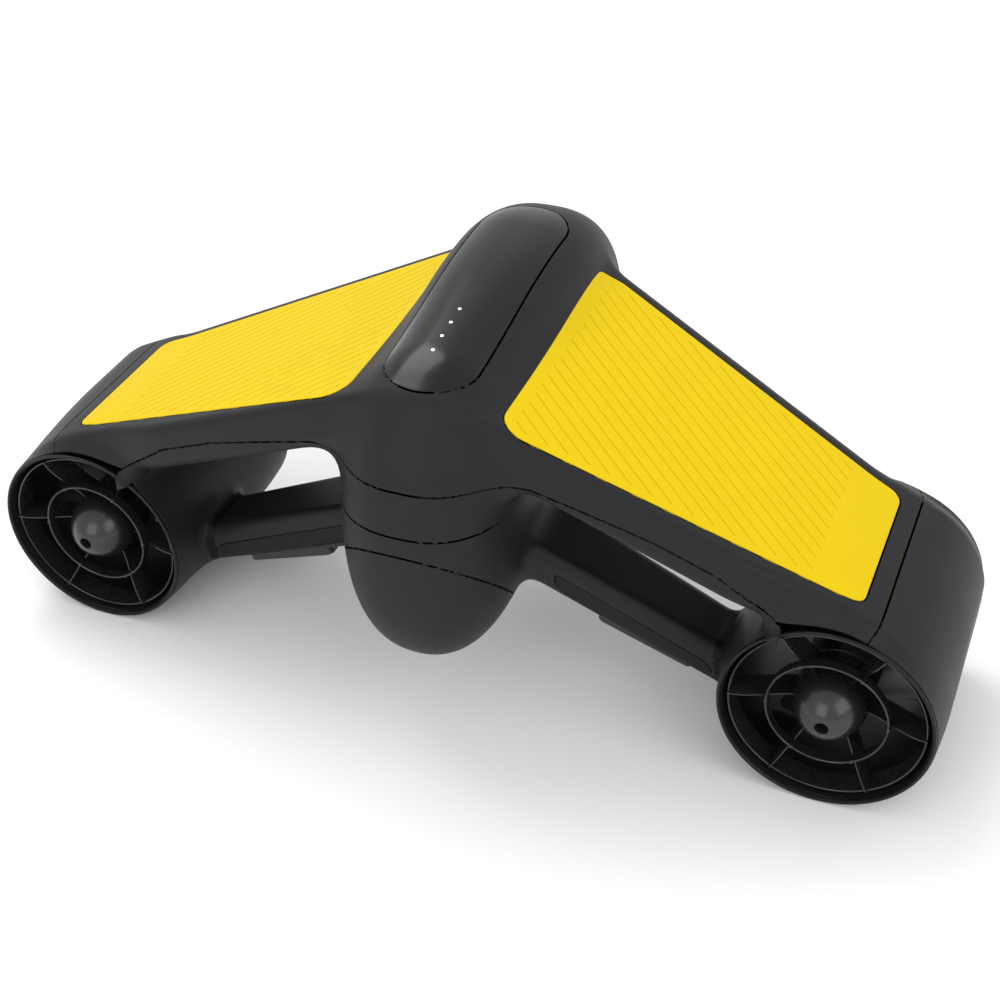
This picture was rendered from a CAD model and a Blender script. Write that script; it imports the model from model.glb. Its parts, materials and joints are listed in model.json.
import json
import logging
import math
from dataclasses import dataclass, field
from enum import Enum
from typing import Callable, Optional, Sequence

import bpy
import numpy as np
from mathutils import Matrix, Vector


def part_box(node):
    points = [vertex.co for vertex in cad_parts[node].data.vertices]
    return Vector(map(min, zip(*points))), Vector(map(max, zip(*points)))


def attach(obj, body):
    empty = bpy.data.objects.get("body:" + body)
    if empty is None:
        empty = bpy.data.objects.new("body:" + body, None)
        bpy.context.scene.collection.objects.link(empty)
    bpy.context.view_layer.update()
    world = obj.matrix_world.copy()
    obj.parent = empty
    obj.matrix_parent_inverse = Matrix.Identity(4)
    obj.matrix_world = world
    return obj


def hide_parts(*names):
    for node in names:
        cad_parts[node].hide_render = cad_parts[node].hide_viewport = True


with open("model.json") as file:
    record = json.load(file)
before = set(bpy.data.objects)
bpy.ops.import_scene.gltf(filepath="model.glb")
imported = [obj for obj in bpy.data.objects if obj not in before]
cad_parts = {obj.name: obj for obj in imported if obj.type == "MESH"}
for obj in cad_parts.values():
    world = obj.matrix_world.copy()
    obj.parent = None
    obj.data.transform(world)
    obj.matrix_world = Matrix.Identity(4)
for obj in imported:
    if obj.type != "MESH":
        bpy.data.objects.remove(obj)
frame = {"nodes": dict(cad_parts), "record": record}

Array = np.ndarray
FieldFn = Callable[[Array], Array]
LOG = logging.getLogger("scooter")
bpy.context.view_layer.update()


# --- Sizes -------------------------------------------------------------------------
@dataclass(frozen=True)
class Datum:
    """Where the thrusters' own axes sit in the row frame, and the sizes read from the frame."""

    duct_x: float
    lip_y: float
    duct_z: float
    bore: float
    barrel: float
    length: float
    edge_x: float
    back: float
    front: float
    top: float

    @classmethod
    def from_frame(cls) -> "Datum":
        """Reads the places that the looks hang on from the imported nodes."""
        low, high = (corner * 1000 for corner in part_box("duct_liner_right"))
        shell_low, shell_high = (corner * 1000 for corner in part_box("nacelle_right"))
        cap_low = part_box("chin_cap")[0] * 1000
        chin_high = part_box("chin_shell")[1] * 1000
        window_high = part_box("display_window")[1] * 1000
        duct_x, duct_z = (low.x + high.x) / 2, (low.z + high.z) / 2
        lip_y = shell_low.y
        return cls(duct_x=duct_x, lip_y=lip_y, duct_z=duct_z, bore=50.0,
                   barrel=shell_high.x - duct_x, length=shell_high.y - lip_y,
                   edge_x=shell_high.x, back=cap_low.y - lip_y, front=chin_high.y - lip_y,
                   top=window_high.z - duct_z)

    def row(self, points: Array) -> Array:
        """Points in millimetres about the thrusters, moved to the row frame in metres."""
        return (points + np.array([0.0, self.lip_y, self.duct_z])) / 1000.0


DATUM = Datum.from_frame()
FLUSH_NEAR = 0.3      # an edge this near a moulded joint belongs to it
SEAM_GAP = 0.22       # each shell's edge to the parting line
SEAM_ROUND = 0.35
SEAM_DEPTH = 2.0
GRAIN = 2.2           # the shells' mesh
CHIN_TOP = 83.0       # level seam above the chin
CHIN_REACH = 64.0     # chin's seams end this far from the middle
FLOOR_REACH = 144.0   # the hull's lower boundary follows the finger gap up to here
BAR_END = 150.0       # the bar's joint to the nacelle
TIP_EDGE = 230.0      # the cover's seam along the tip
TIP_CORNER = 10.0
TIP_START = 178.0     # the lips' planes bound the form from here outward
CROWN = 110.0         # the panel lies above this


# --- Field arithmetic --------------------------------------------------------------
def smooth_step(share: Array) -> Array:
    """A share from 0 to 1 that starts and ends level."""
    share = np.clip(share, 0.0, 1.0)
    return share * share * (3 - 2 * share)


def between(start: float, end: float, share: Array) -> Array:
    """The value a given share of the way from start to end."""
    return start + (end - start) * share


def blend_union(a: Array, b: Array, reach: "float | Array") -> Array:
    """Two forms joined with a soft fillet.

    Args:
        a: distance to the first form.
        b: distance to the second form.
        reach: how far from the crease the fillet starts.

    Returns:
        The distance to the joined form.
    """
    near = np.maximum(reach - np.abs(a - b), 0.0) / reach
    return np.minimum(a, b) - near * near * reach / 4


def round_corner(a: Array, b: Array, radius: float) -> Array:
    """The space inside both a and b, with their common edge rounded to radius."""
    outside = np.hypot(np.maximum(a + radius, 0.0), np.maximum(b + radius, 0.0))
    return outside - radius + np.minimum(np.maximum(a, b) + radius, 0.0)


def unit(vectors: Array) -> Array:
    """Vectors scaled to a length of one."""
    return vectors / np.maximum(np.linalg.norm(vectors, axis=1, keepdims=True), 1e-9)


def gradient(fn: FieldFn, points: Array, step: float = 0.05) -> Array:
    """The slope of a field at some points, by central differences."""
    slope = np.empty_like(points)
    for axis in range(3):
        offset = np.zeros(3)
        offset[axis] = step
        slope[:, axis] = (fn(points + offset) - fn(points - offset)) / (2 * step)
    return slope


# --- The moulded form --------------------------------------------------------------
@dataclass(frozen=True)
class HullForm:
    """The scooter's outer form as distance fields, in millimetres."""

    half: float = 46.0
    tail: float = 60.0
    nose: float = 105.0
    chin: float = -16.5
    belly_rise: float = 36.0
    rear_level: float = 52.0
    nose_level: float = 60.0
    spine_fall: float = 0.128
    squareness: float = 2.3
    crown_flat: float = 0.35
    ridge: float = 153.5
    ridge_round: float = 40.0
    slope: float = math.tan(math.radians(23.0))
    thick: float = 30.5
    back_root: float = -12.0
    back_tip: float = 0.0
    front_root: float = 178.0
    front_tip: float = 126.0
    edge: float = 11.0
    back_edge: float = 5.0
    shoulder: float = 30.0
    tuck: float = 17.0
    tuck_length: float = 80.0
    lip: float = 54.7
    swell: float = 33.0
    joint_x: float = 182.0
    lip_set: float = 5.5
    grip_high: float = 71.0
    grip_slope: float = math.tan(math.radians(24.5))
    grip_deep_root: float = 37.0
    grip_deep_tip: float = 26.0

    def body(self, p: Array) -> Array:
        """The chin, spine and nose."""
        x, y, z = np.abs(p[:, 0]), p[:, 1], p[:, 2]
        full_back = DATUM.back + self.tail
        full_front = DATUM.front - self.nose
        rear = np.maximum((full_back - y) / self.tail, 0.0)
        ahead = np.maximum((y - full_front) / self.nose, 0.0)
        power = np.where(ahead > 0, 2.0, 2.4)
        along = np.maximum(rear, ahead)
        share = np.maximum(1 - along ** power, 0.0) ** (1 / power)
        level = np.where(ahead > 0, self.nose_level, self.rear_level)
        behind = np.maximum(full_front - y, 0.0)
        eased = np.where(behind < 60.0, behind ** 2 / 120.0, behind - 30.0)
        top = DATUM.top - self.spine_fall * eased
        climb = smooth_step((y - full_back) / (full_front - full_back))
        bottom = self.chin + self.belly_rise * climb
        centre = level + ((top + bottom) / 2 - level) * share
        tall = (top - bottom) / 2
        n = self.squareness + self.crown_flat * climb
        gauge = ((x / self.half) ** n + (np.abs(z - centre) / tall) ** n) ** (1 / n)
        return (gauge ** power + along ** power) ** (1 / power) - 1

    def body_distance(self, p: Array) -> Array:
        """The body's field scaled to millimetres near its surface."""
        slope = np.linalg.norm(gradient(self.body, p, 0.2), axis=1)
        return self.body(p) / np.maximum(slope, 1e-3)

    def wing_top(self, x: Array) -> Array:
        """Height of the wing's upper face, rounded over the middle."""
        near = x ** 2 / (2 * self.ridge_round) + self.ridge_round / 2
        return self.ridge - np.where(x < self.ridge_round, near, x) * self.slope

    def wing_under(self, x: Array) -> Array:
        """Height of the wing's lower face."""
        return self.wing_top(x) - self.thick

    def grip_top(self, x: Array) -> Array:
        """Height of the bar's upper face."""
        return self.grip_high - x * self.grip_slope

    def gap_middle(self, x: Array) -> Array:
        """Height halfway up the opening that the fingers go through."""
        return (self.grip_top(x) + self.wing_under(x)) / 2

    def wing(self, p: Array) -> Array:
        """The wing from the middle to the shoulder over the duct."""
        x, y, z = np.abs(p[:, 0]), p[:, 1], p[:, 2]
        span = np.minimum(x, DATUM.duct_x)
        share = span / DATUM.duct_x
        sweep = (self.front_root - self.front_tip) / DATUM.duct_x
        back = between(self.back_root, self.back_tip, share) - y
        back = back + self.lip_set * smooth_step((x - 150.0) / 45.0)
        front = (y - between(self.front_root, self.front_tip, share)) / math.hypot(1, sweep)
        above = (z - self.wing_top(x)) / math.hypot(1, self.slope)
        side = DATUM.edge_x - self.tuck * np.clip(1 - y / self.tuck_length, 0.0, 1.0) ** 2
        deck = round_corner(above, x - side, self.shoulder)
        drop = 80.0 * smooth_step((x - 170.0) / 36.0)
        floor = np.maximum(self.wing_under(x) - drop, 0.0)
        under = (floor - z) / math.hypot(1, self.slope)
        upper = smooth_step((z - self.wing_under(x)) / self.thick)
        back_round = between(self.edge, self.back_edge, upper)
        chord = np.maximum(back, front)
        radius = np.where(back > front, back_round, self.edge)
        return round_corner(np.maximum(deck, under), chord, radius)

    def barrel(self, p: Array) -> Array:
        """The nacelle's round form, flat underneath. Its ends are cut off later."""
        x, y, z = np.abs(p[:, 0]) - DATUM.duct_x, p[:, 1], p[:, 2]
        back = np.clip(1 - y / self.swell, 0.0, 1.0)
        ahead = np.clip(1 - (DATUM.length - y) / self.swell, 0.0, 1.0)
        radius = DATUM.barrel - (DATUM.barrel - self.lip) * (back ** 2 + ahead ** 2)
        side = np.hypot(x, z) - radius
        side = np.maximum(side, np.maximum(-4.0 - y, y - DATUM.length - 4.0))
        return round_corner(side, -z - DATUM.duct_z + 0.1, 5.0)

    def grip(self, p: Array) -> Array:
        """The bar between chin and nacelle."""
        x, y, z = np.abs(p[:, 0]), p[:, 1], p[:, 2]
        share = np.clip((x - self.half) / (DATUM.duct_x - DATUM.barrel - self.half), -0.3, 1.3)
        back = between(19.0, 27.0, share)
        front = between(66.0, 64.0, share)
        deep = between(self.grip_deep_root, self.grip_deep_tip, share)
        lean = 13.0 * np.maximum(0.0, 1 - share)
        top = self.grip_top(x)
        cosine = 1 / math.hypot(1, self.grip_slope)
        drop = (top - z) / deep
        behind = back + lean * drop - y
        ahead = y - front + lean / 2 * drop
        solid = round_corner((z - top) * cosine, behind, 7.0)
        solid = round_corner(solid, ahead, 8.0)
        solid = round_corner(solid, (top - deep - z) * cosine, 9.0)
        return np.maximum(solid, np.maximum(20.0 - x, x - DATUM.duct_x))

    def whole(self, p: Array) -> Array:
        """The outer form with all its fillets."""
        body = self.body_distance(p)
        wings = self.wing(p)
        upper = smooth_step((p[:, 2] - 96.0) / 40.0)
        form = blend_union(body, wings, between(24.0, 8.0, upper))
        outer = smooth_step((np.abs(p[:, 0]) - DATUM.duct_x) / 30.0)
        form = blend_union(form, self.barrel(p), between(14.0, 5.0, outer))
        form = np.maximum(form, np.abs(p[:, 0]) - DATUM.edge_x)
        return blend_union(form, self.grip(p), 11.0)


FORM = HullForm()


# --- Skins -------------------------------------------------------------------------
@dataclass
class Skin:
    """A surface of quads and triangles: a triangle repeats its last corner as -1."""

    points: Array
    faces: Array
    normals: Optional[Array] = None

    def used(self) -> "Skin":
        """The same skin without points that no face uses."""
        ids, inverse = np.unique(self.faces, return_inverse=True)
        inverse = inverse.reshape(self.faces.shape)
        if ids[0] == -1:
            return Skin(self.points[ids[1:]], inverse - 1)
        return Skin(self.points[ids], inverse)

    def edges(self) -> Array:
        """Each face's edges in order, as pairs of points."""
        quads = self.faces[self.faces[:, 3] >= 0]
        triangles = self.faces[self.faces[:, 3] < 0][:, :3]
        pairs = [quads[:, [i, (i + 1) % 4]] for i in range(4)]
        pairs += [triangles[:, [i, (i + 1) % 3]] for i in range(3)]
        return np.concatenate(pairs)

    def rim(self) -> Array:
        """The edges that only one face has, in their face's order."""
        pairs = self.edges()
        keys = np.sort(pairs, axis=1)
        _, inverse, counts = np.unique(keys, axis=0, return_inverse=True, return_counts=True)
        return pairs[counts[inverse.reshape(-1)] == 1]


def skin_of(fn: FieldFn, low: Sequence[float], high: Sequence[float], step: float) -> Skin:
    """The zero surface of a field as an even mesh of quads.

    Args:
        fn: the field, negative inside.
        low: lowest corner of the box to search.
        high: highest corner of the box.
        step: the mesh's grain.

    Returns:
        The surface, with its normals outward.
    """
    axes = [np.arange(a, b + step, step) for a, b in zip(low, high)]
    shape = tuple(len(axis) for axis in axes)
    values = np.empty(shape)
    for i, x in enumerate(axes[0]):
        yy, zz = np.meshgrid(axes[1], axes[2], indexing="ij")
        layer = np.stack([np.full(yy.size, x), yy.ravel(), zz.ravel()], axis=1)
        values[i] = fn(layer).reshape(shape[1:])
    inside = values < 0
    corners = [(a, b, c) for a in (0, 1) for b in (0, 1) for c in (0, 1)]

    def part(array: Array, corner: tuple) -> Array:
        return array[tuple(slice(o, n - 1 + o) for o, n in zip(corner, shape))]

    count = sum(part(inside, corner).astype(np.int8) for corner in corners)
    cells = np.argwhere((count > 0) & (count < 8))
    number = -np.ones([n - 1 for n in shape], int)
    number[tuple(cells.T)] = np.arange(len(cells))
    total = np.zeros((len(cells), 3))
    crossings = np.zeros(len(cells))
    for corner in corners:
        for axis in range(3):
            if corner[axis]:
                continue
            other = list(corner)
            other[axis] = 1
            a = values[tuple((cells + corner).T)]
            b = values[tuple((cells + other).T)]
            cross = (a < 0) != (b < 0)
            share = np.where(cross, a / np.where(cross, a - b, 1.0), 0.0)
            place = np.array(corner, float)[None, :].repeat(len(cells), 0)
            place[:, axis] += share
            total[cross] += place[cross]
            crossings += cross
    points = np.array(low) + (cells + total / crossings[:, None]) * step
    faces = []
    for axis in range(3):
        b, c = (axis + 1) % 3, (axis + 2) % 3
        first = inside[tuple(slice(0, n - 1) if k == axis else slice(None) for k, n in enumerate(shape))]
        last = inside[tuple(slice(1, n) if k == axis else slice(None) for k, n in enumerate(shape))]
        cut = np.argwhere(first != last)
        within = (cut[:, b] > 0) & (cut[:, c] > 0)
        within &= (cut[:, b] < shape[b] - 1) & (cut[:, c] < shape[c] - 1)
        cut = cut[within]
        ring = []
        for db, dc in ((-1, -1), (0, -1), (0, 0), (-1, 0)):
            cell = cut.copy()
            cell[:, b] += db
            cell[:, c] += dc
            ring.append(number[tuple(cell.T)])
        quads = np.stack(ring, axis=1)
        starts_inside = first[tuple(cut.T)]
        quads[~starts_inside] = quads[~starts_inside][:, ::-1]
        faces.append(quads)
    return Skin(points, np.concatenate(faces))


def project(fn: FieldFn, points: Array, rounds: int = 3) -> Array:
    """Points moved onto a field's zero surface."""
    for _ in range(rounds):
        slope = gradient(fn, points)
        length = np.maximum((slope ** 2).sum(axis=1), 1e-6)
        move = -(fn(points) / length)[:, None] * slope
        size = np.linalg.norm(move, axis=1, keepdims=True)
        points = points + move * np.minimum(1.0, 1.5 / np.maximum(size, 1e-9))
    return points


def relaxed(skin: Skin, fn: FieldFn, rounds: int = 3) -> Skin:
    """The skin with its points spread evenly over the surface."""
    pairs = skin.edges()
    points = skin.points
    for _ in range(rounds):
        total = np.zeros_like(points)
        count = np.zeros(len(points))
        for a, b in ((0, 1), (1, 0)):
            np.add.at(total, pairs[:, a], points[pairs[:, b]])
            np.add.at(count, pairs[:, a], 1)
        points = points + 0.5 * (total / np.maximum(count, 1)[:, None] - points)
        points = project(fn, points, 1)
    return Skin(project(fn, points, 2), skin.faces)


def snapped(skin: Skin, seam: FieldFn, fn: FieldFn, near: float) -> Skin:
    """The skin with points near a seam moved onto it, so that the cut leaves no slivers."""
    values = seam(skin.points)
    close = np.abs(values) < near
    points = skin.points.copy()
    if close.any():
        for _ in range(3):
            place = points[close]
            normal = gradient(fn, place)
            normal /= np.linalg.norm(normal, axis=1, keepdims=True)
            slope = gradient(seam, place)
            slope -= (slope * normal).sum(axis=1, keepdims=True) * normal
            size = np.maximum((slope ** 2).sum(axis=1), 0.04)
            place = place - (seam(place) / size)[:, None] * slope
            points[close] = project(fn, place, 1)
    return Skin(points, skin.faces)


def clipped(skin: Skin, values: Array, fn: Optional[FieldFn] = None) -> Skin:
    """The part of a skin where values are positive, with new points along the cut."""
    values = np.where(np.abs(values) < 1e-4, 1e-4, values)
    positive = values > 0
    quads = skin.faces[skin.faces[:, 3] >= 0]
    triangles = skin.faces[skin.faces[:, 3] < 0][:, :3]
    kept = positive[quads].all(axis=1)
    mixed = positive[quads].any(axis=1) & ~kept
    split = quads[mixed]
    triangles = np.concatenate([triangles, split[:, [0, 1, 2]], split[:, [0, 2, 3]]])
    whole = positive[triangles].all(axis=1)
    partly = positive[triangles].any(axis=1) & ~whole
    cut = triangles[partly]
    inside = positive[cut]
    count = inside.sum(axis=1)
    lone = np.where(count == 1, inside.argmax(axis=1), (~inside).argmax(axis=1))
    turned = np.stack([cut[np.arange(len(cut)), (lone + k) % 3] for k in range(3)], axis=1)
    base = len(skin.points)

    def crossing(a: Array, b: Array) -> tuple[Array, Array]:
        low, high = np.minimum(a, b), np.maximum(a, b)
        return low, high

    pairs = np.concatenate([np.stack(crossing(turned[:, 0], turned[:, 1]), 1),
                            np.stack(crossing(turned[:, 0], turned[:, 2]), 1)])
    unique, inverse = np.unique(pairs, axis=0, return_inverse=True)
    inverse = inverse.reshape(-1)
    a, b = unique[:, 0], unique[:, 1]
    share = (values[a] / (values[a] - values[b]))[:, None]
    fresh = skin.points[a] + (skin.points[b] - skin.points[a]) * share
    if fn is not None and len(fresh):
        fresh = project(fn, fresh, 1)
    first = base + inverse[:len(cut)]
    second = base + inverse[len(cut):]
    one = count == 1
    none = -np.ones(one.sum(), int)
    tips = np.stack([turned[one, 0], first[one], second[one], none], axis=1)
    two = ~one
    bases = np.stack([first[two], turned[two, 1], turned[two, 2], second[two]], axis=1)
    rest = triangles[whole]
    rest = np.concatenate([rest, -np.ones((len(rest), 1), int)], axis=1)
    faces = np.concatenate([quads[kept], rest, tips, bases])
    return Skin(np.concatenate([skin.points, fresh]), faces).used()


def rimmed(skin: Skin, fn: FieldFn, gap: float, radius: float, depth: float,
           flush: Sequence[FieldFn] = ()) -> Skin:
    """The skin with its cut edges drawn back, rounded over and turned inward.

    Args:
        skin: the cut skin.
        fn: the form's field, for its normals.
        gap: how far the edge stands back from the cut.
        radius: rounding of the edge.
        depth: how far the wall then goes in.
        flush: seams whose edges stay as they are, where two pieces are moulded together.

    Returns:
        The skin with its rims and its normals.
    """
    normals = unit(gradient(fn, skin.points))
    rim = skin.rim()
    for seam in flush:
        middle = (skin.points[rim[:, 0]] + skin.points[rim[:, 1]]) / 2
        rim = rim[np.abs(seam(middle)) > FLUSH_NEAR]
    if not len(rim):
        return Skin(skin.points, skin.faces, normals)
    ids = np.unique(rim)
    slot = -np.ones(len(skin.points), int)
    slot[ids] = np.arange(len(ids))
    normal = normals[ids]
    tangent = np.zeros_like(normal)
    run = unit(skin.points[rim[:, 1]] - skin.points[rim[:, 0]])
    for end in (0, 1):
        np.add.at(tangent, slot[rim[:, end]], run)
    outward = unit(np.cross(tangent, normal))
    start = skin.points[ids]
    points = skin.points.copy()
    points[ids] = start - outward * (gap + radius)
    rings, turned = [], []
    for turn in (30, 60, 90):
        angle = math.radians(turn)
        rings.append(start - outward * (gap + radius * (1 - math.sin(angle)))
                     - normal * radius * (1 - math.cos(angle)))
        turned.append(normal * math.cos(angle) + outward * math.sin(angle))
    rings.append(start - outward * gap - normal * (radius + depth))
    turned.append(outward)
    base, size = len(points), len(ids)
    a, b = rim[:, 0], rim[:, 1]
    sa, sb = slot[a], slot[b]
    strips = [np.stack([b, a, base + sa, base + sb], axis=1)]
    for k in range(len(rings) - 1):
        near, far = base + k * size, base + (k + 1) * size
        strips.append(np.stack([near + sb, near + sa, far + sa, far + sb], axis=1))
    return Skin(np.concatenate([points] + rings), np.concatenate([skin.faces] + strips),
                np.concatenate([normals] + turned))


# --- Outlines drawn on the deck ----------------------------------------------------
class Outline:
    """A closed convex outline in the plane, with rounded corners."""

    def __init__(self, corners: Sequence[tuple[float, float]], radii: Sequence[float]) -> None:
        """Rounds the corners, given anticlockwise, with an arc each."""
        self.corners = [np.array(corner) for corner in corners]
        self.radii = list(radii)
        points = []
        count = len(self.corners)
        for i, radius in enumerate(self.radii):
            here = self.corners[i]
            before = self.corners[i - 1] - here
            after = self.corners[(i + 1) % count] - here
            before /= np.linalg.norm(before)
            after /= np.linalg.norm(after)
            half = math.acos(np.clip(before @ after, -1, 1)) / 2
            middle = (before + after) / np.linalg.norm(before + after)
            centre = here + middle * radius / math.sin(half)
            start = here + before * radius / math.tan(half) - centre
            sweep = math.pi - 2 * half
            for k in range(13):
                angle = sweep * k / 12
                cosine, sine = math.cos(angle), math.sin(angle)
                points.append(centre + np.array([start[0] * cosine - start[1] * sine,
                                                 start[0] * sine + start[1] * cosine]))
        self.points = np.array(points)

    def distance(self, x: Array, y: Array) -> Array:
        """Signed distance to the outline, negative inside."""
        start, end = self.points, np.roll(self.points, -1, axis=0)
        best = np.full(x.shape, 1e9)
        inside = np.ones(x.shape, bool)
        for a, b in zip(start, end):
            run = b - a
            length = run @ run
            if length < 1e-9:
                continue
            share = np.clip(((x - a[0]) * run[0] + (y - a[1]) * run[1]) / length, 0, 1)
            best = np.minimum(best, np.hypot(x - a[0] - share * run[0], y - a[1] - share * run[1]))
            inside &= run[0] * (y - a[1]) - run[1] * (x - a[0]) >= 0
        return np.where(inside, -best, best)

    def reach(self, along: Array, across: Array, level: float) -> Optional[tuple[float, float]]:
        """Where a line crosses the outline.

        Args:
            along: the line's direction.
            across: the direction that levels are counted in.
            level: how far over the line lies.

        Returns:
            The first and last crossing along the line, or None where it misses.
        """
        over = self.points @ across - level
        run = self.points @ along
        found = []
        for i, value in enumerate(over):
            other = over[(i + 1) % len(over)]
            if (value < 0) != (other < 0):
                share = value / (value - other)
                found.append(run[i] + (run[(i + 1) % len(over)] - run[i]) * share)
        return (min(found), max(found)) if len(found) > 1 else None


PAD = Outline([(40.0, -7.0), (217.0, 17.0), (217.0, 109.5), (40.0, 154.5)], [12.0, 7.0, 9.0, 10.0])
GROOVED = Outline([(46.0, -1.0), (190.0, 18.8), (190.0, 110.5), (46.0, 147.0)], [7.0, 3.0, 3.0, 6.0])
PANEL = Outline([(-24.0, -9.0), (24.0, -9.0), (24.0, 157.0), (-24.0, 157.0)], [23.9] * 4)


# --- Parting lines -----------------------------------------------------------------
def above_seam(p: Array) -> Array:
    """Height above the parting line between top cover and hull."""
    x = np.abs(p[:, 0])
    line = np.interp(x, (0, 58, 80, 118, 150, 182, 191, 221, 232, 270),
                     (106.5, 105.5, 99.8, 88.5, 75.3, 51.6, 47.0, 51.5, 58.0, 58.0))
    return p[:, 2] - line


def in_cover(p: Array) -> Array:
    """Positive on the top cover, whose edge is rounded where it turns along the tip."""
    return -round_corner(-above_seam(p), np.abs(p[:, 0]) - TIP_EDGE, TIP_CORNER)


def off_pads(p: Array) -> Array:
    """Positive outside the pads."""
    return PAD.distance(np.abs(p[:, 0]), p[:, 1])


def off_panel(p: Array) -> Array:
    """Positive outside the panel."""
    return PANEL.distance(p[:, 0], p[:, 1])


def hull_floor(p: Array) -> Array:
    """Positive above the hull's lower boundary."""
    x = np.abs(p[:, 0])
    gap = FORM.gap_middle(x)
    under = FORM.wing_under(x) - 3.0
    line = np.where(x < CHIN_REACH, CHIN_TOP, np.where(x < FLOOR_REACH, gap, under))
    return p[:, 2] - line


def inside_joint(p: Array) -> Array:
    """Positive on the middle's side of the joint to the nacelle."""
    return FORM.joint_x - np.abs(p[:, 0])


def above_cap(p: Array) -> Array:
    """Positive above the cap's sloping seam."""
    slope = math.tan(math.radians(44.0))
    return (p[:, 2] - 34.0 + slope * p[:, 1]) / math.hypot(1, slope)


def off_chin(p: Array) -> Array:
    """Positive away from the chin, on the bar."""
    return np.minimum(FORM.body_distance(p) - 4.0, FORM.gap_middle(np.abs(p[:, 0])) - p[:, 2])


def off_nacelle(p: Array) -> Array:
    """Positive on the bar's side of its joint to the nacelle."""
    return BAR_END - np.abs(p[:, 0])


def off_slot(p: Array) -> Array:
    """Positive outside the trigger's slot, under the bar."""
    x, y = np.abs(p[:, 0]), p[:, 1]
    plan = np.maximum(np.abs(x - 106.0) - 29.1, np.abs(y - 44.5) - 7.1)
    return np.maximum(plan, p[:, 2] - FORM.grip_top(x) + 14.0)


def on_strip(p: Array) -> Array:
    """Positive on the soft strip along the back of the bar."""
    x, y = np.abs(p[:, 0]), p[:, 1]
    level = p[:, 2] - FORM.grip_top(x) + 19.5
    plan = round_corner(np.abs(x - 101.0) - 43.0, np.abs(level) - 6.5, 5.0)
    return np.minimum(-plan, 40.0 - y)


def below_deck(p: Array) -> Array:
    """Positive under the parting line, on anything that isn't the cover."""
    return -in_cover(p)


def on_nacelle(p: Array) -> Array:
    """Positive on the nacelle."""
    x = np.abs(p[:, 0])
    fillet = np.where(x > FLOOR_REACH, FORM.wing_under(x) - 3.0 - p[:, 2], -9.0)
    barrel = np.where(p[:, 2] < FORM.gap_middle(x), x - BAR_END, -9.0)
    return np.maximum(np.maximum(x - FORM.joint_x, fillet), barrel)


def clear_of_bore(p: Array) -> Array:
    """Positive outside the hole for the duct's lining."""
    return np.hypot(np.abs(p[:, 0]) - DATUM.duct_x, p[:, 2]) - DATUM.bore - 2.4


def between_lips(p: Array) -> Array:
    """Positive between the planes of the two lips, round the duct only."""
    return np.minimum(p[:, 1] - 0.4, DATUM.length - 0.4 - p[:, 1])


def tip_between_lips(p: Array) -> Array:
    """Positive between the lips' planes over the duct, and everywhere nearer the middle."""
    return np.where(np.abs(p[:, 0]) > TIP_START, between_lips(p), 9.0)


# --- Finishes ----------------------------------------------------------------------
class Value:
    """A number socket that takes part in expressions."""

    def __init__(self, tree: bpy.types.NodeTree, socket: bpy.types.NodeSocket) -> None:
        """Wraps one output socket."""
        self.tree = tree
        self.socket = socket

    def math(self, operation: str, *others: "Value | float") -> "Value":
        """A Math node with this value as its first input."""
        return Nodes(self.tree).value("ShaderNodeMath", {"operation": operation},
                                      {i: v for i, v in enumerate((self,) + others)})

    def __add__(self, other: "Value | float") -> "Value":
        return self.math("ADD", other)

    def __sub__(self, other: "Value | float") -> "Value":
        return self.math("SUBTRACT", other)

    def __mul__(self, other: "Value | float") -> "Value":
        return self.math("MULTIPLY", other)

    def __rsub__(self, other: float) -> "Value":
        return (self * -1.0) + other

    __radd__ = __add__
    __rmul__ = __mul__

    def over(self, low: float, high: float) -> "Value":
        """How far this value is from low to high, kept between 0 and 1."""
        return Nodes(self.tree).value("ShaderNodeMapRange", {"clamp": True},
                                      {0: self, 1: low, 2: high, 3: 0.0, 4: 1.0})


@dataclass
class Nodes:
    """A shader's node tree."""

    tree: bpy.types.NodeTree

    def add(self, kind: str, settings: dict, inputs: dict) -> bpy.types.Node:
        """Adds a node.

        Args:
            kind: the node's type.
            settings: its own settings, made before its sockets are filled.
            inputs: a number, colour or Value for each socket, by name or place.

        Returns:
            The new node.
        """
        node = self.tree.nodes.new(kind)
        for name, value in settings.items():
            setattr(node, name, value)
        for name, value in inputs.items():
            if isinstance(value, Value):
                self.tree.links.new(value.socket, node.inputs[name])
            else:
                node.inputs[name].default_value = value
        return node

    def value(self, kind: str, settings: dict, inputs: dict, output: "int | str" = 0) -> Value:
        """Adds a node and takes one of its outputs."""
        return Value(self.tree, self.add(kind, settings, inputs).outputs[output])

    def noise(self, place: Value, scale: float, detail: float = 3.0) -> Value:
        """Soft random cells, from 0 to 1."""
        return self.value("ShaderNodeTexNoise", {}, {"Vector": place, "Scale": scale,
                                                     "Detail": detail, "Roughness": 0.6})


class Grain(Enum):
    """What the surface of a finish is like."""

    SPARK = "spark eroded mould"
    FINE = "polished mould"
    RUBBER = "soft rubber"
    TURNED = "turned metal"
    WOUND = "wound wire"
    BOARD = "printed board"


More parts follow.
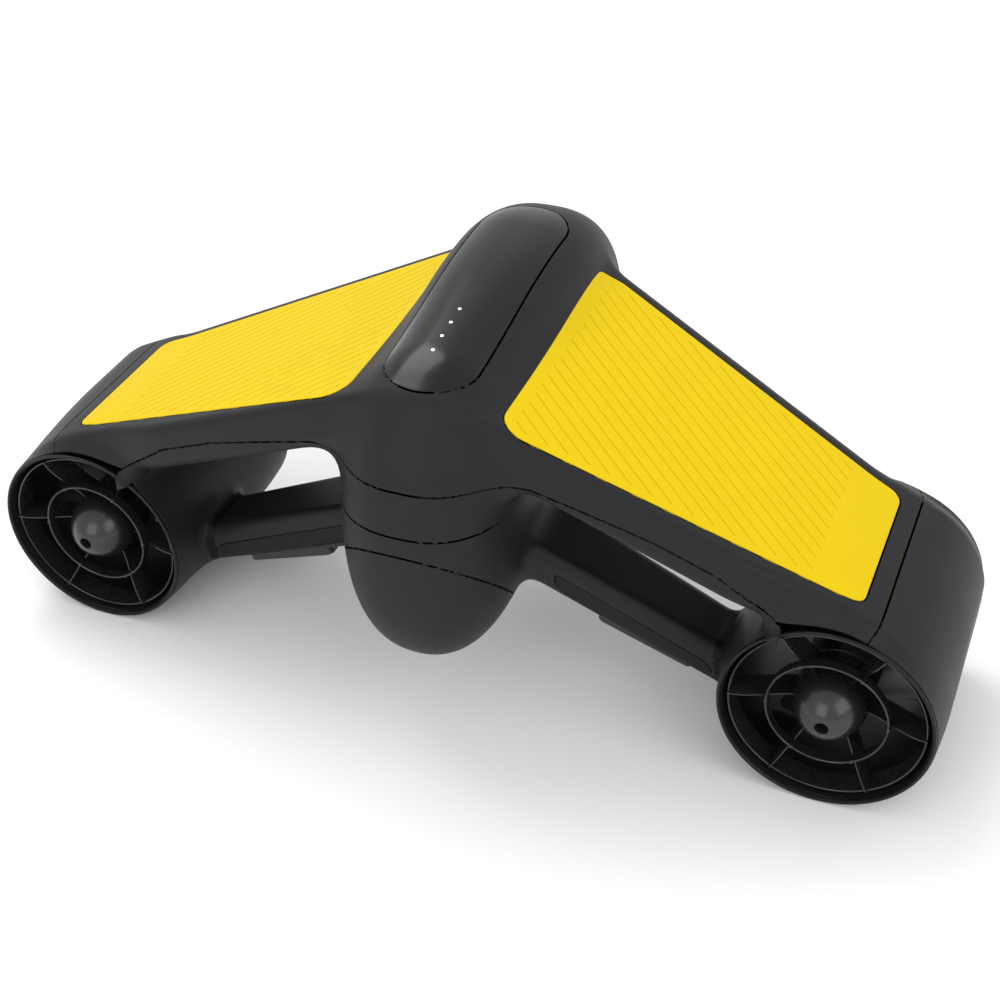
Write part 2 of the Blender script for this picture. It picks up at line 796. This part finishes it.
@dataclass(frozen=True)
class Finish:
    """One material of the scooter, with its grain, mottling and scuffs."""

    name: str
    colour: tuple[float, float, float]
    roughness: float
    grain: Grain = Grain.FINE
    metallic: float = 0.0
    coat: float = 0.0
    cell: float = 0.0006
    relief: float = 0.00004
    mottle: float = 0.12
    wear: float = 0.1
    glow: float = 0.0
    sheen: float = 0.5

    def height(self, nodes: Nodes, place: Value) -> Value:
        """The surface's fine relief, from 0 to 1."""
        per_metre = 1 / self.cell
        if self.grain is Grain.SPARK:
            cells = nodes.value("ShaderNodeTexVoronoi", {"feature": "SMOOTH_F1"},
                                {"Vector": place, "Scale": per_metre * 0.7})
            return cells * 0.6 + nodes.noise(place, per_metre) * 0.4
        if self.grain is Grain.TURNED:
            return nodes.value("ShaderNodeTexWave", {"wave_type": "RINGS", "rings_direction": "Y"},
                               {"Vector": place, "Scale": per_metre * 0.3, "Distortion": 0.6})
        if self.grain is Grain.WOUND:
            return nodes.value("ShaderNodeTexWave", {"wave_type": "BANDS"},
                               {"Vector": place, "Scale": per_metre * 0.5, "Distortion": 0.3})
        if self.grain is Grain.BOARD:
            return nodes.value("ShaderNodeTexBrick", {}, {"Vector": place, "Scale": per_metre * 0.2},
                               "Fac")
        return nodes.noise(place, per_metre, 2.0)

    def material(self) -> bpy.types.Material:
        """Builds the material."""
        material = bpy.data.materials.new(self.name)
        material.use_nodes = True
        tree = material.node_tree
        tree.nodes.clear()
        nodes = Nodes(tree)
        place = nodes.value("ShaderNodeTexCoord", {}, {}, "Object")
        relief = self.height(nodes, place)
        cloud = nodes.noise(place, 38.0, 4.0).over(0.3, 0.7)
        fleck = nodes.noise(place, 0.5 / self.cell, 2.0).over(0.35, 0.75)
        rubbed = nodes.noise(place, 14.0, 6.0).over(0.55, 0.8)
        mix = cloud * 0.5 + fleck * 0.5
        dark = tuple(channel * (1 - self.mottle) for channel in self.colour) + (1.0,)
        light = tuple(min(channel * (1 + self.mottle), 1.0) for channel in self.colour) + (1.0,)
        base = self.picked(nodes, mix, dark, light)
        rough = rubbed * self.wear * -0.5 + fleck * 0.06 + (self.roughness - 0.03)
        bump = nodes.value("ShaderNodeBump", {}, {"Height": relief, "Strength": 1.0,
                                                "Distance": self.relief})
        shader = nodes.add("ShaderNodeBsdfPrincipled", {}, {
            "Base Color": base, "Roughness": rough, "Metallic": self.metallic,
            "Coat Weight": self.coat, "Coat Roughness": 0.06, "Specular IOR Level": self.sheen,
            "Normal": bump})
        if self.glow:
            shader.inputs["Emission Color"].default_value = self.colour + (1.0,)
            shader.inputs["Emission Strength"].default_value = self.glow
        out = nodes.add("ShaderNodeOutputMaterial", {}, {})
        tree.links.new(shader.outputs[0], out.inputs[0])
        return material

    def picked(self, nodes: Nodes, share: Value, dark: tuple, light: tuple) -> Value:
        """A colour between dark and light."""
        mix = nodes.tree.nodes.new("ShaderNodeMix")
        mix.data_type = "RGBA"
        nodes.tree.links.new(share.socket, mix.inputs[0])
        mix.inputs[6].default_value = dark
        mix.inputs[7].default_value = light
        return Value(nodes.tree, mix.outputs[2])


SHELL = Finish("shell_plastic", (0.0125, 0.0125, 0.0150), 0.50, Grain.SPARK, cell=0.0007, relief=0.00005,
               sheen=0.2)
NACELLE = Finish("nacelle_plastic", (0.0125, 0.0125, 0.0150), 0.48, Grain.SPARK, cell=0.0007,
                 relief=0.00005, sheen=0.2)
SOFT = Finish("grip_rubber", (0.010, 0.010, 0.012), 0.66, Grain.RUBBER, cell=0.0010, relief=0.00006,
              sheen=0.2)
YELLOW = Finish("pad_yellow", (0.70, 0.50, 0.002), 0.62, Grain.RUBBER, cell=0.0005, relief=0.00002,
                mottle=0.03, wear=0.04, sheen=0.12)
GLOSS = Finish("panel_gloss", (0.003, 0.003, 0.004), 0.24, coat=0.08, relief=0.000002, mottle=0.1,
               wear=0.05, sheen=0.3)
DUCT = Finish("duct_plastic", (0.005, 0.005, 0.006), 0.42, relief=0.00001, sheen=0.25)
HUB = Finish("guard_plastic", (0.012, 0.012, 0.013), 0.27, relief=0.000006, coat=0.2)
BLADE = Finish("propeller_plastic", (0.012, 0.012, 0.014), 0.33, relief=0.00001)
LAMP = Finish("lamp_white", (0.95, 0.97, 1.0), 0.3, glow=2.2, mottle=0.02)
DRESS = {
    "seal_rubber": Finish("seal_rubber_fine", (0.012, 0.012, 0.012), 0.75, Grain.RUBBER),
    "motor_steel": Finish("motor_steel_turned", (0.42, 0.42, 0.44), 0.32, Grain.TURNED, metallic=1.0),
    "coil_copper": Finish("coil_copper_wound", (0.62, 0.25, 0.10), 0.34, Grain.WOUND, metallic=1.0),
    "magnet_steel": Finish("magnet_plated", (0.55, 0.55, 0.56), 0.25, Grain.TURNED, metallic=1.0),
    "shaft_steel": Finish("shaft_ground", (0.60, 0.60, 0.62), 0.22, Grain.TURNED, metallic=1.0),
    "bearing_plastic": Finish("bearing_plastic_fine", (0.55, 0.53, 0.48), 0.45),
    "trigger_plastic": Finish("trigger_satin", (0.022, 0.022, 0.025), 0.42, Grain.SPARK),
    "circuit_board": Finish("board_green", (0.01, 0.09, 0.04), 0.45, Grain.BOARD),
    "cell_wrap": Finish("cell_wrap_film", (0.05, 0.16, 0.42), 0.35),
    "holder_plastic": Finish("holder_moulded", (0.08, 0.08, 0.08), 0.55, Grain.SPARK),
    "screw_steel": Finish("screw_stainless", (0.50, 0.50, 0.50), 0.30, Grain.TURNED, metallic=1.0),
    "brass_thread": Finish("brass_turned", (0.65, 0.45, 0.16), 0.30, Grain.TURNED, metallic=1.0),
    "duct_plastic": DUCT,
    "propeller_plastic": BLADE,
    "shell_plastic": SHELL,
    "grip_rubber": SOFT,
    "pad_yellow": YELLOW,
    "panel_gloss": GLOSS,
    "lamp_white": LAMP,
}


class Paintbox:
    """Makes each finish's material once."""

    def __init__(self) -> None:
        """Starts with no materials."""
        self.made: dict[str, bpy.types.Material] = {}

    def get(self, finish: Finish) -> bpy.types.Material:
        """The finish's material."""
        if finish.name not in self.made:
            self.made[finish.name] = finish.material()
        return self.made[finish.name]


PAINT = Paintbox()


# --- Pieces ------------------------------------------------------------------------
def place_piece(name: str, skin: Skin, finish: Finish, nodes: Sequence[str],
                body: str = "hull") -> bpy.types.Object:
    """Writes a skin as a piece that rides on a body.

    Args:
        name: the piece's name.
        skin: its surface, in millimetres about the thrusters.
        finish: its material.
        nodes: the nodes it stands for.
        body: the body it rides on.

    Returns:
        The new object.
    """
    mesh = bpy.data.meshes.new(name)
    corners = skin.faces.ravel()
    sizes = np.where(skin.faces[:, 3] < 0, 3, 4)
    corners = corners[corners >= 0]
    starts = np.concatenate([[0], np.cumsum(sizes)[:-1]])
    mesh.vertices.add(len(skin.points))
    mesh.vertices.foreach_set("co", DATUM.row(skin.points).astype(np.float32).ravel())
    mesh.loops.add(len(corners))
    mesh.loops.foreach_set("vertex_index", corners.astype(np.int32))
    mesh.polygons.add(len(sizes))
    mesh.polygons.foreach_set("loop_start", starts.astype(np.int32))
    mesh.polygons.foreach_set("loop_total", sizes.astype(np.int32))
    mesh.update(calc_edges=True)
    mesh.validate()
    mesh.shade_smooth()
    if skin.normals is not None and len(mesh.vertices) == len(skin.normals):
        mesh.normals_split_custom_set_from_vertices(skin.normals.tolist())
    mesh.materials.append(PAINT.get(finish))
    piece = bpy.data.objects.new(name, mesh)
    bpy.context.scene.collection.objects.link(piece)
    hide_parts(*nodes)
    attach(piece, body)
    LOG.info("%s: %d faces on %s", name, len(sizes), body)
    return piece


def one_side(skin: Skin, sign: int) -> Skin:
    """The half of a skin on one side of the middle."""
    return clipped(skin, skin.points[:, 0] * sign - 1e-3)


@dataclass
class Shells:
    """The moulded shells, cut from the one form along their parting lines."""

    grain: float = GRAIN
    skin: Skin = field(init=False)

    def __post_init__(self) -> None:
        """Meshes the whole form and moves its points onto the parting lines."""
        edge, low = DATUM.edge_x + 4, -DATUM.duct_z - 4
        raw = skin_of(FORM.whole, (-edge, DATUM.back - 4, low), (edge, DATUM.front + 4, DATUM.top + 4),
                      self.grain)
        skin = relaxed(raw, FORM.whole)
        for seam in (in_cover, off_pads, off_panel, above_cap, hull_floor):
            skin = snapped(skin, seam, FORM.whole, self.grain * 0.35)
        self.skin = skin

    def cut(self, *seams: FieldFn, start: Optional[Skin] = None) -> Skin:
        """The part of the form where every seam is positive."""
        skin = start or self.skin
        for seam in seams:
            skin = clipped(skin, seam(skin.points), FORM.whole)
        return skin

    def shell(self, skin: Skin, *flush: FieldFn) -> Skin:
        """A shell with its edges finished."""
        return rimmed(skin, FORM.whole, SEAM_GAP, SEAM_ROUND, SEAM_DEPTH, flush)

    def build(self) -> None:
        """Places every shell."""
        cover = self.shell(self.cut(in_cover, off_pads, off_panel, tip_between_lips))
        place_piece("cover_shell", cover, SHELL, ["top_cover"])
        hull = self.shell(self.cut(below_deck, hull_floor, inside_joint), hull_floor_outer)
        place_piece("hull_shell", hull, SHELL, ["main_hull"])
        low = self.cut(below_cover_and_hull)
        chin = self.cut(near_chin, above_cap, start=low)
        place_piece("chin_shell_skin", self.shell(chin, near_chin), SHELL, ["chin_shell"])
        cap = self.cut(near_chin, lambda p: -above_cap(p), start=low)
        place_piece("chin_cap_skin", self.shell(cap, near_chin), SHELL, ["chin_cap"])
        for side, sign in (("left", -1), ("right", 1)):
            half = one_side(self.skin, sign)
            bar = self.cut(off_chin, off_nacelle, off_slot, start=half)
            strip = self.cut(on_strip, start=bar)
            bare = self.cut(lambda p: -on_strip(p), start=bar)
            place_piece(f"handle_bar_{side}", self.shell(bare, off_chin, off_nacelle), SHELL,
                        [f"handle_{side}"])
            place_piece(f"grip_pad_{side}", self.shell(strip, off_chin, off_nacelle), SOFT,
                        [f"grip_strip_{side}"])
            tip = self.cut(below_deck, on_nacelle, between_lips, clear_of_bore, start=half)
            place_piece(f"nacelle_shell_{side}", self.shell(tip, on_nacelle), NACELLE,
                        [f"nacelle_{side}"])
        window = self.cut(lambda p: -off_panel(p), lambda p: p[:, 2] - CROWN)
        place_piece("panel_glass", self.shell(window), GLOSS, ["display_window"])


def near_chin(p: Array) -> Array:
    """Positive on the chin's side of the bar's root."""
    return -off_chin(p)


def below_cover_and_hull(p: Array) -> Array:
    """Positive on the chin, under the hull's lower edge and inboard of the bars."""
    return np.minimum(CHIN_TOP - p[:, 2], CHIN_REACH - np.abs(p[:, 0]))


def hull_floor_outer(p: Array) -> Array:
    """The hull's lower boundary beyond the chin, where it is moulded on."""
    return np.where(np.abs(p[:, 0]) > CHIN_REACH, hull_floor(p), 9.0)


def deck_height(x: Array, y: Array) -> Array:
    """Height of the form's upper face over a place in plan."""
    z = FORM.wing_top(np.abs(x)) + 2.0
    up = np.array([0.0, 0.0, 0.05])
    for _ in range(20):
        points = np.stack([x, y, z], axis=1)
        rise = (FORM.whole(points + up) - FORM.whole(points - up)) / (2 * up[2])
        z = z - np.clip(FORM.whole(points) / np.maximum(rise, 0.3), -3.0, 3.0)
    return z


@dataclass
class DeckPads:
    """The yellow pads with their engraved diagonal grooves."""

    proud: float = 0.25
    groove_pitch: float = 7.0
    groove_half: float = 0.42
    groove_deep: float = 0.5
    row_step: float = 1.4
    columns: int = 14
    angle: float = 36.0

    def levels(self, across: Array) -> list[tuple[float, float]]:
        """The mesh's rows over the pad, each with the share of a groove's depth it has."""
        over = PAD.points @ across
        low, high = over.min() + 0.02, over.max() - 0.02
        rows = {round(level, 3): 0.0 for level in np.arange(low, high, self.row_step)}
        for middle in np.arange(low + self.groove_pitch, high, self.groove_pitch):
            for level in list(rows):
                if abs(level - middle) < self.groove_half * 1.6:
                    del rows[level]
            for share, deep in ((-1.0, 0.0), (-0.45, 1.0), (0.45, 1.0), (1.0, 0.0)):
                rows[round(middle + share * self.groove_half, 3)] = deep
        rows[round(high, 3)] = 0.0
        return sorted(rows.items())

    def skin(self) -> Skin:
        """The right pad's upper face."""
        angle = math.radians(-self.angle)
        along = np.array([math.cos(angle), math.sin(angle)])
        across = np.array([-along[1], along[0]])
        points, deep_rows = [], []
        for level, deep in self.levels(across):
            outer = PAD.reach(along, across, level)
            if outer is None:
                continue
            inner = GROOVED.reach(along, across, level)
            if inner is None or inner[1] - inner[0] < 3.0:
                middle = (outer[0] + outer[1]) / 2
                inner, deep = (middle - 0.2, middle + 0.2), 0.0
            stops = [outer[0], inner[0], inner[0] + 0.1]
            stops += list(np.linspace(inner[0] + 0.1, inner[1] - 0.1, self.columns)[1:-1])
            stops += [inner[1] - 0.1, inner[1], outer[1]]
            depths = [0.0, 0.0] + [deep] * self.columns + [0.0, 0.0]
            for stop, depth in zip(stops, depths):
                plan = along * stop + across * level
                points.append((plan[0], plan[1], self.proud - depth * self.groove_deep))
            deep_rows.append(len(stops))
        width = deep_rows[0]
        count = len(deep_rows)
        grid = np.arange(count * width).reshape(count, width)
        faces = np.stack([grid[:-1, :-1], grid[:-1, 1:], grid[1:, 1:], grid[1:, :-1]], axis=-1)
        placed = np.array(points)
        placed[:, 2] += deck_height(placed[:, 0], placed[:, 1])
        return Skin(placed, faces.reshape(-1, 4))

    def build(self) -> None:
        """Places both pads."""
        right = rimmed(self.skin(), FORM.whole, 0.3, 0.4, 1.4)
        right = Skin(right.points, right.faces)
        left = Skin(right.points * np.array([-1.0, 1.0, 1.0]), right.faces[:, ::-1])
        for side, skin in (("right", right), ("left", left)):
            piece = place_piece(f"pad_{side}", skin, YELLOW, [f"deck_pad_{side}"])
            piece.data.set_sharp_from_angle(angle=math.radians(35))


@dataclass
class StatusLamps:
    """The row of small white lamps in the panel."""

    count: int = 4
    first: float = 14.3
    step: float = 11.1
    radius: float = 0.85
    proud: float = 0.25
    turns: int = 20

    def build(self) -> None:
        """Places the lamps as low domes on the crown."""
        points, faces = [], []
        for lamp in range(self.count):
            y = self.first + lamp * self.step
            seat = project(FORM.whole, np.array([[0.0, y, DATUM.top - 8.0]]), 8)[0]
            base = len(points)
            points.append((0.0, y, seat[2] + self.proud))
            for ring, (share, rise) in enumerate(((0.5, 0.85), (0.85, 0.5), (1.0, 0.0), (1.0, -2.0))):
                for k in range(self.turns):
                    turn = 2 * math.pi * k / self.turns
                    points.append((share * self.radius * math.cos(turn),
                                   y + share * self.radius * math.sin(turn),
                                   seat[2] + rise * self.proud))
                    follow = (k + 1) % self.turns
                    here = base + 1 + ring * self.turns
                    if ring == 0:
                        faces.append((base, here + k, here + follow, -1))
                    else:
                        above = here - self.turns
                        faces.append((above + k, here + k, here + follow, above + follow))
        place_piece("status_lamps", Skin(np.array(points), np.array(faces)), LAMP,
                    ["light_pipes"])


def outward(skin: Skin) -> Skin:
    """A closed skin with its faces turned outward."""
    corners = skin.points[np.where(skin.faces < 0, skin.faces[:, [2]], skin.faces)]
    a, b, c, d = (corners[:, i] for i in range(4))
    volume = (np.cross(a, b) * c).sum() + (np.cross(a, c) * d).sum()
    if volume > 0:
        return skin
    flipped = skin.faces[:, ::-1].copy()
    short = flipped[:, 0] < 0
    flipped[short] = np.roll(flipped[short], -1, axis=1)
    return Skin(skin.points, flipped)


def merged(skins: Sequence[Skin]) -> Skin:
    """Several closed skins as one."""
    points, faces, base = [], [], 0
    for skin in skins:
        points.append(skin.points)
        faces.append(np.where(skin.faces < 0, -1, skin.faces + base))
        base += len(skin.points)
    return Skin(np.concatenate(points), np.concatenate(faces))


def turned(profile: Sequence[tuple[float, float]], turns: int = 96) -> Skin:
    """A ring about the duct's axis.

    Args:
        profile: its closed outline, as (radius, y) points.
        turns: how many steps it is made of.

    Returns:
        The closed ring.
    """
    outline = np.array(profile)
    angles = np.arange(turns) * 2 * math.pi / turns
    count = len(outline)
    points = np.stack([np.outer(np.cos(angles), outline[:, 0]),
                       np.tile(outline[:, 1], (turns, 1)),
                       np.outer(np.sin(angles), outline[:, 0])], axis=-1).reshape(-1, 3)
    ring = np.arange(turns)[:, None] * count + np.arange(count)
    after = np.roll(ring, -1, axis=0)
    faces = np.stack([ring, np.roll(ring, -1, axis=1), np.roll(after, -1, axis=1), after], axis=-1)
    return outward(Skin(points, faces.reshape(-1, 4)))


def spun(skin: Skin, count: int) -> Skin:
    """Copies of a skin spaced evenly about the duct's axis."""
    copies = []
    for i in range(count):
        angle = 2 * math.pi * i / count
        cosine, sine = math.cos(angle), math.sin(angle)
        spin = np.array([[cosine, 0, sine], [0, 1, 0], [-sine, 0, cosine]])
        copies.append(Skin(skin.points @ spin.T, skin.faces))
    return merged(copies)


def plate(stations: Sequence[tuple[Array, Array]]) -> Skin:
    """A thin closed plate.

    Args:
        stations: the front and back line of each section along it.

    Returns:
        The plate, with both its ends closed.
    """
    rows = [np.concatenate([front, back[::-1]]) for front, back in stations]
    size = len(rows[0])
    ring = np.arange(len(rows))[:, None] * size + np.arange(size)
    near, far = ring[:-1], ring[1:]
    sides = np.stack([near, np.roll(near, -1, axis=1), np.roll(far, -1, axis=1), far], axis=-1)
    half = size // 2
    caps = []
    for row in (0, len(rows) - 1):
        for k in range(half - 1):
            a, b = ring[row, k], ring[row, k + 1]
            c, d = ring[row, size - 2 - k], ring[row, size - 1 - k]
            caps.append((d, c, b, a) if row == 0 else (a, b, c, d))
    return outward(Skin(np.concatenate(rows), np.concatenate([sides.reshape(-1, 4), np.array(caps)])))


@dataclass
class Thruster:
    """The lining, the fixed vanes and the propeller in each duct."""

    bore: float = 50.0
    hub: float = 19.0
    ring: float = 31.0
    vane: float = 1.1
    vanes: int = 6
    blades: int = 3
    blade_y: float = 46.0
    pitch: float = 115.0
    bell: float = 2.6
    bell_depth: float = 11.0
    mouth_back: float = 0.6
    tail_y: float = 17.0
    tail_reach: float = 24.0
    tail_hole: float = 3.6
    tail_end: float = 30.6
    socket: float = 8.0
    broken_edge: float = 0.3
    boss: float = 1.25
    boss_in: float = 0.55
    boss_end: float = 7.5
    blade_tip: float = 48.4
    blade_chord: float = 27.0
    blade_thick: float = 1.1
    rotor_wall: float = 17.4
    rotor_back: float = 31.4
    cone_y: float = 62.6
    cone_reach: float = 20.0
    smooth_below: float = 38.0

    def lining(self) -> Skin:
        """The bell mouth and the bore, open at both ends."""
        mouth = [(self.bore + self.bell * (1 - math.sin(t)), self.bell_depth * math.sin(t) - self.mouth_back)
                 for t in np.linspace(0, math.pi / 2, 9)[::-1]]
        rim = [(52.9, -1.0), (53.6, -1.15), (54.1, -1.0), (54.4, -0.5), (54.4, 0.3), (52.2, 0.3)]
        return turned([(52.2, 133.0), (51.4, 133.0), (50.0, 131.0)] + mouth + rim, 144)

    def tail(self) -> Skin:
        """The rounded tail with its small hole."""
        angles = np.linspace(math.asin(self.tail_hole / self.hub), math.pi / 2, 22)
        nose = [(self.hub * math.sin(t), self.tail_y - self.tail_reach * math.cos(t)) for t in angles]
        hole = nose[0]
        inner = [(self.hub, self.tail_end), (self.socket, self.tail_end), (self.socket, 24.0),
                 (hole[0] - 0.35, 24.0),
                 (hole[0] - 0.35, hole[1] + 0.7), (hole[0] - 0.1, hole[1] + 0.15)]
        return turned(nose + inner)

    def fin(self) -> Skin:
        """One vane, dished towards the hub."""
        stations = []
        for share in np.linspace(0, 1, 14):
            radius = between(self.hub - 1.5, self.bore - 0.3, share)
            dish = 11.0 * (1 - smooth_step(np.array(share)) ** 0.8)
            rear, front = 2.0 + dish, between(29.0, 16.0, share)
            ys = np.array([rear + 0.5, rear, rear, rear + 0.5, front - 0.4, front, front, front - 0.4])
            zs = np.array([-1.0, -0.55, 0.55, 1.0, 1.0, 0.4, -0.4, -1.0]) * self.vane / 2
            line = np.stack([np.full(8, radius), ys, zs], axis=1)
            stations.append((line[:4], line[4:][::-1]))
        return plate(stations)

    def guard(self) -> Skin:
        """Tail, thin rings, vanes and the small bosses where they cross."""
        def band(radius: float, start: float, end: float) -> Skin:
            """A thin ring with its rear edge broken."""
            inner, edge = radius - self.vane, self.broken_edge
            return turned([(radius, start + edge), (radius - edge, start), (inner + edge, start),
                           (inner, start + edge), (inner, end), (radius, end)])
        return merged([self.tail(), band(self.ring, 3.2, 9.0), band(49.9, 3.0, 16.0),
                       spun(self.fin(), self.vanes), spun(self.dome(), self.vanes)])

    def dome(self) -> Skin:
        """A small round boss at the first vane's crossing with the ring."""
        middle, turns = self.ring - self.boss_in, 14
        points, faces = [(middle, 2.9, 0.0)], []
        for ring, (share, back) in enumerate(((0.6, 3.05), (0.9, 3.5), (1.0, 4.2), (1.0, self.boss_end))):
            for k in range(turns):
                turn = 2 * math.pi * k / turns
                points.append((middle + self.boss * share * math.cos(turn), back,
                               self.boss * share * math.sin(turn)))
                here, follow = 1 + ring * turns, (k + 1) % turns
                if ring == 0:
                    faces.append((0, here + k, here + follow, -1))
                else:
                    faces.append((here - turns + k, here + k, here + follow, here - turns + follow))
        points.append((middle, self.boss_end, 0.0))
        last = 1 + 3 * turns
        faces += [(len(points) - 1, last + (k + 1) % turns, last + k, -1) for k in range(turns)]
        return outward(Skin(np.array(points), np.array(faces)))

    def blade(self) -> Skin:
        """One twisted blade."""
        stations = []
        for share in np.linspace(0, 1, 16):
            radius = between(self.hub - 1.0, self.blade_tip, share)
            chord = self.blade_chord * (1 - 0.25 * share) * math.sqrt(max(1 - (share * 0.97) ** 10, 0.02))
            turn = math.atan2(self.pitch, 2 * math.pi * radius)
            along = np.array([0, math.sin(turn), math.cos(turn)]) * chord / 2
            across = np.array([0, math.cos(turn), -math.sin(turn)])
            s = np.cos(np.linspace(0, math.pi, 12))
            lens = self.blade_thick * np.sqrt(np.maximum(1 - s ** 2, 0.004)) * (1 - 0.45 * share)
            centre = np.array([radius, self.blade_y, 0.0])
            flat = centre + s[:, None] * along
            stations.append((flat + lens[:, None] * across, flat - lens[:, None] * across))
        return plate(stations)

    def rotor(self) -> Skin:
        """Hub, nose cone and blades."""
        nose = [(self.hub * math.cos(t), self.cone_y + self.cone_reach * math.sin(t))
                for t in np.linspace(0, 1.45, 12)]
        wall, back = self.rotor_wall, self.rotor_back
        hub = [(wall, back), (self.hub - 0.4, back), (self.hub, 31.8)]
        return merged([turned(hub + nose + [(0.6, 82.4), (0.6, 61.0), (wall, 61.0)]),
                       spun(self.blade(), self.blades)])

    def build(self) -> None:
        """Places both thrusters."""
        for name, skin, finish, slot, node in (
                ("duct_lining", self.lining(), DUCT, "duct_plastic", "duct_liner"),
                ("vane_guard", self.guard(), HUB, "duct_plastic", "stator_guard"),
                ("rotor_skin", self.rotor(), BLADE, "propeller_plastic", "propeller")):
            for side, sign in (("right", 1.0), ("left", -1.0)):
                faces = skin.faces if sign > 0 else outward(Skin(skin.points * (-1, 1, 1), skin.faces)).faces
                points = skin.points * np.array([sign, 1.0, 1.0])
                points[:, 0] += sign * DATUM.duct_x
                body = f"propeller_{side}" if node == "propeller" else "hull"
                piece = place_piece(f"{name}_{side}", Skin(points, faces), finish,
                                    [f"{node}_{side}"], body)
                piece.data.set_sharp_from_angle(angle=math.radians(self.smooth_below))


def dress_nodes() -> None:
    """Gives every node that stays its own finish."""
    slots = {entry["node"]: entry["material_slot"] for entry in frame["record"]["subparts"]}
    for name, node in sorted(frame["nodes"].items()):
        if node.hide_render:
            continue
        finish = HUB if name.startswith("stator_guard") else DRESS[slots[name]]
        node.data.materials.clear()
        node.data.materials.append(PAINT.get(finish))
        LOG.info("%s dressed as %s", name, finish.name)


@dataclass
class Studio:
    """Camera, floor and lights."""

    eye: tuple[float, float, float] = (297.36, -631.24, 588.65)
    right: tuple[float, float, float] = (0.93063, 0.36580, -0.01029)
    up: tuple[float, float, float] = (-0.20956, 0.55577, 0.80449)
    lens: float = 62.56
    shift: tuple[float, float] = (-0.0089, 0.0069)

    def camera(self) -> None:
        """Sets the camera that looks down on the back of the right wing."""
        data = bpy.data.cameras.new("camera")
        data.lens, data.sensor_width = self.lens, 36.0
        data.shift_x, data.shift_y = self.shift
        camera = bpy.data.objects.new("camera", data)
        right, up = Vector(self.right).normalized(), Vector(self.up).normalized()
        turn = Matrix((right, up, right.cross(up))).transposed().to_4x4()
        place = DATUM.row(np.array([self.eye]))[0]
        camera.matrix_world = Matrix.Translation(Vector(place.tolist())) @ turn
        bpy.context.scene.collection.objects.link(camera)
        bpy.context.scene.camera = camera

    def lamp(self, name: str, place: tuple, size: float, power: float) -> None:
        """Adds a soft square light that faces the object."""
        data = bpy.data.lights.new(name, "AREA")
        data.shape, data.size, data.energy = "SQUARE", size, power
        light = bpy.data.objects.new(name, data)
        light.location = place
        light.rotation_euler = (-Vector(place)).to_track_quat("-Z", "Y").to_euler()
        bpy.context.scene.collection.objects.link(light)

    def floor(self) -> None:
        """Adds the plain pale floor."""
        mesh = bpy.data.meshes.new("floor")
        half = 6.0
        corners = [(-half, -half, 0), (half, -half, 0), (half, half, 0), (-half, half, 0)]
        mesh.from_pydata(corners, [], [(0, 1, 2, 3)])
        material = bpy.data.materials.new("floor_pale")
        material.use_nodes = True
        shader = material.node_tree.nodes["Principled BSDF"]
        shader.inputs["Base Color"].default_value = (0.93, 0.93, 0.93, 1)
        shader.inputs["Roughness"].default_value = 0.9
        mesh.materials.append(material)
        floor = bpy.data.objects.new("floor", mesh)
        bpy.context.scene.collection.objects.link(floor)

    def build(self) -> None:
        """Sets up the studio."""
        self.camera()
        self.floor()
        self.lamp("key", (-0.9, 0.5, 1.8), 1.2, 17.0)
        self.lamp("fill", (1.6, -0.8, 1.1), 1.3, 8.0)
        self.lamp("front", (-0.3, -1.7, 0.9), 1.2, 7.0)
        world = bpy.data.worlds.new("studio")
        world.use_nodes = True
        background = world.node_tree.nodes["Background"]
        background.inputs[0].default_value = (1.0, 1.0, 1.0, 1)
        background.inputs[1].default_value = 0.9
        bpy.context.scene.world = world
        bpy.context.scene.view_settings.view_transform = "Standard"


def main() -> None:
    """Builds the scooter's looks round the frame."""
    logging.basicConfig(level=logging.INFO)
    Studio().build()
    Shells().build()
    DeckPads().build()
    StatusLamps().build()
    Thruster().build()
    dress_nodes()


if __name__ == "__main__":
    main()
